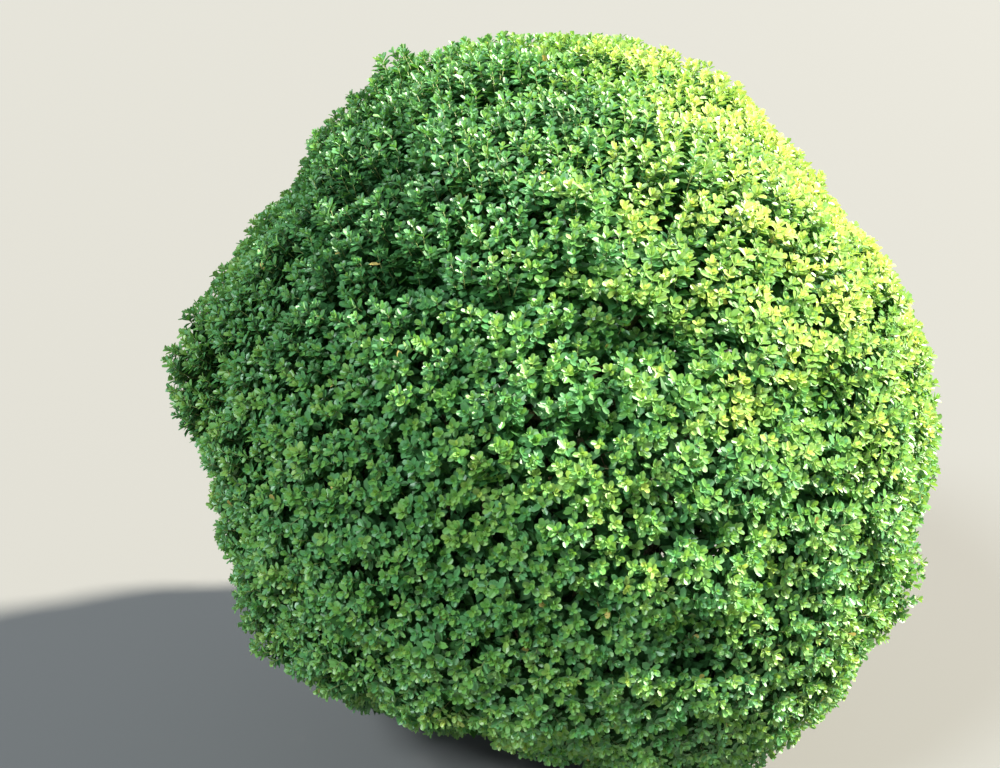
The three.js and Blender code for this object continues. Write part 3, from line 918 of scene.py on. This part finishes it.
# %% Hollows
TIER_DEPTH = 0.008
TIER_PITCH = 0.150
TIER_FLATNESS = 3.0  # how much wider than high
DEEPEST_TIER = 1.5  # in tier depths
HOLLOW_DEPTH = 0.046
HOLLOW_PITCH = 0.115
HOLLOW_FLATNESS = 1.8
HOLLOW_SOFTNESS = 1.3
HOLLOW_RARITY = 0.9  # a higher value leaves fewer and smaller ones
SHARE_AT_SIDES = 0.5  # of their depth, for the pattern's own hollows
SHARE_IN_FRONT = 0.1

# The larger hollows on the front: azimuth and elevation, half their width and height, in degrees
FRONT_HOLLOWS = {
    "under the left shoulder": (-29, 34, 7.0, 2.5),
    "left of the middle": (-13, 32, 5.0, 2.0),
    "right of the middle": (8, 27, 9.0, 3.2),
    "right side": (37, 16, 5.0, 4.0),
    "middle": (-1, 17, 6.0, 1.5),
    "low on the right": (30, 4, 4.0, 1.8),
    "low in the middle": (15, 3, 3.5, 1.8),
    "low on the left": (-15, -1, 4.0, 1.5),
    "below the middle": (2, -7, 2.5, 2.5),
    "near the foot": (17, -18, 4.0, 1.8),
}


def undulation(ways, pitch, flatness, waves=9):
    """A soft pattern that rises and falls by about one and is flatness times as wide as high."""
    turns = 2 * math.pi * BALL_RADIUS / pitch
    flattened = ways * np.array([1, 1, flatness])
    phases = np.arange(waves) * GOLDEN_ANGLE
    rise = np.sin(turns * (flattened @ even_directions(waves).T) + phases)
    return rise.sum(axis=1) / math.sqrt(waves / 2)


pattern = undulation(shoot_ways, HOLLOW_PITCH, HOLLOW_FLATNESS)
hollow = np.clip(pattern / HOLLOW_SOFTNESS - HOLLOW_RARITY, 0, 1)
hollow *= np.clip(SHARE_AT_SIDES + shoot_ways[:, 1], SHARE_IN_FRONT, 1)
azimuths = np.degrees(np.arctan2(shoot_ways[:, 0], -shoot_ways[:, 1]))
elevations = np.degrees(np.arcsin(shoot_ways[:, 2]))
for azimuth, elevation, half_width, half_height in FRONT_HOLLOWS.values():
    off = np.hypot((azimuths - azimuth) / half_width, (elevations - elevation) / half_height)
    hollow = np.maximum(hollow, np.exp(-(off**2)))
tier = np.clip(undulation(shoot_ways, TIER_PITCH, TIER_FLATNESS), 0, DEEPEST_TIER)
print("shoots in hollows:", int((hollow > 0.5).sum()))

# %% Where the shoots end
SPRAY_DOMING = 0.008  # how far a spray's edge lies behind its middle
SPRAY_SET = 0.008  # how much deeper one spray may lie than the next
SHOOT_SET = 0.008
STANDING_OUT = 0.002  # tips of no depth stand this far out of the clipped face

spray_set = dice.uniform(0, SPRAY_SET, len(twig_ways))
tip_depth = SPRAY_DOMING * spread**2 + spray_set[spray]
tip_depth += HOLLOW_DEPTH * hollow + TIER_DEPTH * tier
tip_depth += dice.uniform(0, SHOOT_SET, len(shoot_ways))
shoot_tips = at_depth(shoot_ways, tip_depth - STANDING_OUT)
print("mean depth of the tips:", round(float(tip_depth.mean()), 4))

# %% Which way the shoots point
SHOOT_RISE = 0.42  # how much of up is mixed into the way out
SPRAY_FAN = 0.30
SHOOT_WANDER = 0.18

fan = -unit(gap) * (SPRAY_FAN * spread)[:, None]
shoot_along = shoot_ways + UP * SHOOT_RISE + fan
shoot_along = unit(shoot_along + dice.normal(0, SHOOT_WANDER, shoot_along.shape))
print("mean rise of the shoots:", round(float(shoot_along[:, 2].mean()), 3))

# %% Shoot stems
KNEE = 0.044  # a shoot stands straight over this length, up to its tip
FIRST_SHOOT = 0.5  # how far along its twig a shoot may start, as a part of the twig
SHOOT_RADII = (0.0011, 0.0009, 0.0006)  # at the twig, the knee and the tip
SHOOT_RING = 3
GREEN_BARK = (0.17, 0.22, 0.06, 1)
GREEN_BARK_DULLNESS = 0.7

green_stem, tree, shader = new_material("green shoot")
wax = add_node(
    tree, "ShaderNodeGroup", {"Dullness": GREEN_BARK_DULLNESS}, node_tree=wax_group,
)
feed(tree, shader, {"Base Color": GREEN_BARK, "Roughness": wax.outputs["Roughness"]})

twig_steps = (dice.uniform(FIRST_SHOOT, 1, len(shoot_tips)) * (FINE_STEPS - 1)).astype(int)
stem_lines = np.stack([
    twigs[spray, twig_steps],
    shoot_tips - shoot_along * KNEE,
    shoot_tips,
], axis=1)
stems = alike(stem_lines, SHOOT_RADII, SHOOT_RING)
make_piece("shoot_stems", *stems, green_stem, "foliage", "crown")

# %% [markdown]
# Box leaves grow in opposite pairs, each pair turned a quarter from the last. A clipped shoot is
# short, so its top pairs stand close together in a rosette and the lower ones spread flat. The
# leaf is egg-shaped, widest past its middle, blunt or slightly notched at the tip, and cupped
# along its midrib. Each one is a fan of triangles with the real outline: eight points for
# the leaves seen best, six for the rest of the surface, and four for those inside, which are
# larger and only close the view into the bush. The edge along the midrib is marked sharp, so the
# two halves of a leaf catch the light apart, as on the real one.

# %% Leaf shapes
# Across, along and up from the root, as parts of the leaf's width, length and width
FULL_OUTLINE = np.array([
    (0.00, 0.00, 0.00),
    (0.34, 0.26, 0.13),
    (0.50, 0.60, 0.17),
    (0.34, 0.91, 0.10),
    (0.00, 0.97, 0.00),
    (-0.34, 0.91, 0.10),
    (-0.50, 0.60, 0.17),
    (-0.34, 0.26, 0.13),
])
PLAIN_OUTLINE = np.array([
    (0.00, 0.00, 0.00),
    (0.44, 0.38, 0.15),
    (0.42, 0.78, 0.14),
    (0.00, 1.00, 0.00),
    (-0.42, 0.78, 0.14),
    (-0.44, 0.38, 0.15),
])
INNER_OUTLINE = np.array([
    (0.00, 0.00, 0.00),
    (0.48, 0.55, 0.12),
    (0.00, 1.00, 0.00),
    (-0.48, 0.55, 0.12),
])


def leaf_mesh(leaves, outline):
    """Points and triangles of many leaves, and which points lie on a midrib.

    Each leaf is a fan of triangles from its root.
    """
    across = np.cross(leaves["along"], leaves["upper"])
    x = outline[:, 0] * leaves["width"][:, None]
    y = outline[:, 1] * leaves["length"][:, None]
    cup = outline[:, 2] * leaves["width"][:, None] * leaves["cup"][:, None]
    droop = -(outline[:, 1] ** 2) * (leaves["length"] * leaves["droop"])[:, None]
    points = leaves["root"][:, None] + across[:, None] * x[..., None]
    points = points + leaves["along"][:, None] * y[..., None]
    points = points + leaves["upper"][:, None] * (cup + droop)[..., None]
    corners = len(outline)
    fan = np.array([(0, k, k + 1) for k in range(1, corners - 1)])
    starts = np.arange(len(x)) * corners
    triangles = (starts[:, None, None] + fan[None]).reshape(-1, 3)
    return points.reshape(-1, 3), triangles, np.tile(outline[:, 0] == 0, len(x))


def fold_midribs(piece, on_midrib):
    """Makes the edge from each leaf's root to its tip a crisp fold."""
    edges = piece.data.edges
    ends = np.empty(2 * len(edges), dtype=np.int32)
    edges.foreach_get("vertices", ends)
    edges.foreach_set("use_edge_sharp", on_midrib[ends].reshape(-1, 2).all(axis=1))
    piece.data.update()


# %% How leaves grow
LEAF_LENGTH = 0.0126
LEAF_SLENDERNESS = 0.58  # width as a part of length
LEAF_DROOP = 0.10  # of the tip, as a part of the length
FACE_OUTWARD = 0.14  # how far leaves turn their upper side to the light
QUARTER = math.pi / 2  # each pair is turned this far from the last

# How much they differ: standard deviations, and ranges from least to most
VIGOUR_SPREAD = 0.09  # in size, from stem to stem
VIGOUR_RANGE = (0.75, 1.25)
LENGTH_SPREAD = 0.08
WIDTH_SPREAD = 0.07
TURN_SPREAD = 0.16
TILT_SPREAD = 8  # degrees
FACE_SPREAD = 0.14
CUP_RANGE = (0.4, 1.5)
DROOP_RANGE = (-0.3, 1.6)


# %% Pairs of leaves up a stem


def stems_for_leaves(tips, along, outward):
    """What a pair of leaves needs to know of its stems, as a dictionary of arrays."""
    side = unit(np.cross(along, UP))
    return {
        "tip": tips,
        "along": along,
        "outward": outward,
        "side": side,
        "cross side": np.cross(along, side),
        "turn": dice.uniform(0, math.pi, len(tips)),
        "vigour": dice.normal(1, VIGOUR_SPREAD, len(tips)).clip(*VIGOUR_RANGE),
    }


def leaf_pair(stems, number, drop, angle, size):
    """Both leaves of the pair of that number on every stem, as a dictionary of arrays."""
    halves = []
    for half in (0, math.pi):
        count = len(stems["tip"])
        turn = stems["turn"] + number * QUARTER + half + dice.normal(0, TURN_SPREAD, count)
        away = stems["side"] * np.cos(turn)[:, None] + stems["cross side"] * np.sin(turn)[:, None]
        tilt = np.radians(angle + dice.normal(0, TILT_SPREAD, count))[:, None]
        along = unit(stems["along"] * np.cos(tilt) + away * np.sin(tilt))
        upper = stems["along"] * np.sin(tilt) - away * np.cos(tilt)
        upper = upper + FACE_OUTWARD * (stems["outward"] + UP)
        upper = upper + dice.normal(0, FACE_SPREAD, along.shape)
        length = LEAF_LENGTH * size * stems["vigour"] * dice.normal(1, LENGTH_SPREAD, count)
        halves.append({
            "root": stems["tip"] - stems["along"] * drop,
            "along": along,
            "upper": unit(upper - along * (upper * along).sum(axis=1, keepdims=True)),
            "length": length,
            "width": length * LEAF_SLENDERNESS * dice.normal(1, WIDTH_SPREAD, count),
            "cup": dice.uniform(*CUP_RANGE, count),
            "droop": LEAF_DROOP * dice.uniform(*DROOP_RANGE, count),
            "stem": np.arange(count),
        })
    return {key: np.concatenate([half[key] for half in halves]) for key in halves[0]}


def chosen(leaves, keep):
    """Only some of the leaves."""
    return {key: values[keep] for key, values in leaves.items()}


def leaf_tips(leaves):
    """Where each leaf ends."""
    return leaves["root"] + leaves["along"] * leaves["length"][:, None]


# %% [markdown]
# A leaf's tint comes from its youth and its spray, with painted light and shade added to it. The
# sprays that face the sun, up and to the right, get the lightest, most yellow-green tints: partly
# fresh growth, partly painted sunlight. Those low down and to the left, away from the sun, get a
# cooler, darker green as painted shade. A shoulder at the upper left and the leaves in the hollows
# are tinted dark as painted shade too, and here and there a leaf has faded. So every spray gets a
# value from where it stands, dice vary it from spray to spray, from shoot to shoot and from leaf to
# leaf, and the sum picks one of the tints.

# %% Youth of the sprays and shoots, with painted sunlight and shade
SUNNY_SIDE = unit(np.array([0.45, -0.34, 0.82]))
PLAIN_YOUTH = 1.80
YOUTH_AND_PAINTED_SUN_TOWARDS_SUN = 0.4
YOUTH_AND_PAINTED_SUN_IN_SUN = 3.8
SUN_BEGINS = 0.5  # how squarely a spray must face the sun to be in it
SUN_RANGE = 0.45  # from there to where more sun makes no difference
# A patch of painted shade at the upper left: sprays near it get darker tints.
SHADY_SHOULDER = facing(-40, 58)
SHADE_SPREAD = 31  # degrees
PAINTED_SHADE_ON_SHOULDER = 2.5
PAINTED_SHADE_IN_HOLLOWS = 1.2
SPRAY_SPREAD = 0.33
SHOOT_SPREAD = 0.43
LEAF_SPREAD = 0.30

sunniness = twig_ways @ SUNNY_SIDE
sunshine = np.clip(sunniness - SUN_BEGINS, 0, SUN_RANGE)
off_shoulder = np.degrees(np.arccos(np.clip(twig_ways @ SHADY_SHOULDER, -1, 1)))
shade = np.exp(-((off_shoulder / SHADE_SPREAD) ** 2))
# Tints lighten towards the sun: partly fresh growth, partly painted sunlight.
spray_youth_and_light = PLAIN_YOUTH + YOUTH_AND_PAINTED_SUN_TOWARDS_SUN * sunniness + YOUTH_AND_PAINTED_SUN_IN_SUN * sunshine
# Dice vary each spray, and painted shade darkens those on the shoulder.
spray_youth_and_light += dice.normal(0, SPRAY_SPREAD, len(twig_ways)) - PAINTED_SHADE_ON_SHOULDER * shade
shoot_youth_and_light = spray_youth_and_light[spray] + dice.normal(0, SHOOT_SPREAD, len(shoot_ways))
# Leaves in the hollows get darker tints: painted shade.
shoot_youth_and_light -= PAINTED_SHADE_IN_HOLLOWS * hollow
print("youth of the sprays:", round(spray_youth_and_light.min(), 2), "to", round(spray_youth_and_light.max(), 2))


# %% Leaves on the clipped face
OUTER_TINTS = ["shaded", "deep", "cool", "middle", "mellow", "light", "fresh", "tip"]
OUTER_STEPS = (-0.4, 0.5, 1.5, 2.2, 2.9, 3.6, 4.5)  # the values that part them, youth with painted sun and shade
FADED_SHARE = 0.0015
LOWEST_LEAF = 0.012  # leaf tips nearer the ground are left out

# Each pair: distance under the tip, angle from the shoot in degrees, size, how much younger
# than the shoot, outline
OUTER_PAIRS = [
    (0.0000, 20, 0.66, 0.50, PLAIN_OUTLINE),
    (0.0019, 38, 0.94, 0.15, FULL_OUTLINE),
    (0.0052, 52, 1.06, -0.10, FULL_OUTLINE),
    (0.0100, 64, 1.12, -0.40, PLAIN_OUTLINE),
    (0.0165, 74, 1.16, -0.90, PLAIN_OUTLINE),
]

by_tint = {tint: [] for tint in LEAF_TINTS}
shoot_stems = stems_for_leaves(shoot_tips, shoot_along, shoot_ways)
for number, (drop, angle, size, younger, outline) in enumerate(OUTER_PAIRS):
    leaves = leaf_pair(shoot_stems, number, drop, angle, size)
    leaves = chosen(leaves, leaf_tips(leaves)[:, 2] > LOWEST_LEAF)
    youth_and_light = shoot_youth_and_light[leaves["stem"]] + younger
    youth_and_light += dice.normal(0, LEAF_SPREAD, len(youth_and_light))
    tints = np.digitize(youth_and_light, OUTER_STEPS)
    tints[dice.uniform(0, 1, len(tints)) < FADED_SHARE] = -1
    by_tint["faded"].append(leaf_mesh(chosen(leaves, tints < 0), outline))
    for place, tint in enumerate(OUTER_TINTS):
        by_tint[tint].append(leaf_mesh(chosen(leaves, tints == place), outline))
print("pairs of leaves on each shoot's outside:", len(OUTER_PAIRS))

# %% Leaves behind them
INNER_TINTS = ["old", "shaded", "deep"]
INNER_STEPS = (0.5, 1.15)  # youth and painted sunlight values that part them
PAINTED_SUN_INSIDE = 0.9
TWIG_TURN_OUT = 0.01  # metres out, added to a twig's last step, so that its leaves face outwards

# Each pair: distance under the tip, angle from the stem in degrees, size
INNER_PAIRS = [
    (0.0240, 60, 1.45),
    (0.0340, 72, 1.90),
    (0.0460, 54, 2.30),
]
TWIG_PAIRS = [(0.004 * place, 50 + 4 * place, 2.2) for place in range(12)]


def add_inner_leaves(stems, pairs, sunlit):
    """Leaves closing the view into the bush, tinted lighter on the sunny side: painted sunlight."""
    for number, (drop, angle, size) in enumerate(pairs):
        leaves = leaf_pair(stems, number, drop, angle, size)
        # Dice, and painted sunlight where the spray faces the sun.
        youth_and_light = dice.uniform(0, 1, len(leaves["stem"])) + PAINTED_SUN_INSIDE * sunlit[leaves["stem"]]
        tints = np.digitize(youth_and_light, INNER_STEPS)
        tints[leaf_tips(leaves)[:, 2] < LOWEST_LEAF] = -1
        for place, tint in enumerate(INNER_TINTS):
            by_tint[tint].append(leaf_mesh(chosen(leaves, tints == place), INNER_OUTLINE))


sunlit = np.clip(sunniness, 0, 1)
add_inner_leaves(shoot_stems, INNER_PAIRS, sunlit[spray])
twig_along = unit(twigs[:, -1] - twigs[:, -2] + TWIG_TURN_OUT * twig_ways)
add_inner_leaves(stems_for_leaves(twigs[:, -1], twig_along, twig_ways), TWIG_PAIRS, sunlit)

# %% One piece for each tint
for tint, parts in by_tint.items():
    points, triangles = joined(parts)
    piece = make_piece(
        f"{tint}_leaves", points, triangles, leaf_materials[tint], "foliage", "crown",
    )
    fold_midribs(piece, np.concatenate([part[2] for part in parts]))
print("triangles in all:", sum(made.values()))

# %% [markdown]
# The plant stands on a plain pale floor under soft studio light. A warm key light from the upper
# right stands for the sun on the ball's right shoulder, and a weaker, cooler one from the left
# fills the shade, so the two sides differ as they do out of doors. Area lights would do as well,
# but sun lamps light every side of the ball evenly, wherever the camera goes. They are strong, so
# the floor's own grey is a dark one and comes out pale.

# %% Floor
FLOOR_SIZE = 160.0
FLOOR_COLOUR = (0.145, 0.145, 0.142, 1)
FLOOR_ROUGHNESS = 0.9

floor_material, tree, shader = new_material("pale floor")
feed(tree, shader, {"Base Color": FLOOR_COLOUR, "Roughness": FLOOR_ROUGHNESS})
bpy.ops.mesh.primitive_plane_add(size=FLOOR_SIZE, location=(0, 0, 0))
floor = bpy.context.object
floor.name = "floor"
floor.data.materials.append(floor_material)
print("floor:", FLOOR_SIZE, "metres wide")

# %% Light
SKY_COLOUR = (0.80, 0.90, 1.0, 1)
SKY_STRENGTH = 0.50


def distant_light(name, comes_from, strength, width, colour):
    """A light from far away. Its width in degrees makes its shadows soft."""
    light = bpy.data.objects.new(name, bpy.data.lights.new(name, "SUN"))
    light.data.energy = strength
    light.data.angle = math.radians(width)
    light.data.color = colour
    light.rotation_euler = Vector(comes_from).to_track_quat("Z", "Y").to_euler()
    bpy.context.scene.collection.objects.link(light)


distant_light("key", (0.72, -0.02, 0.69), strength=16.6, width=5, colour=(1.0, 0.94, 0.80))
distant_light("fill", (-0.70, -0.80, 0.95), strength=3.9, width=14, colour=(0.88, 0.96, 1.0))

world = bpy.data.worlds.new("studio")
world.use_nodes = True
sky = world.node_tree.nodes["Background"]
feed(world.node_tree, sky, {"Color": SKY_COLOUR, "Strength": SKY_STRENGTH})
bpy.context.scene.world = world
bpy.context.scene.view_settings.view_transform = "Standard"
print("lights:", ", ".join(light.name for light in bpy.data.lights))
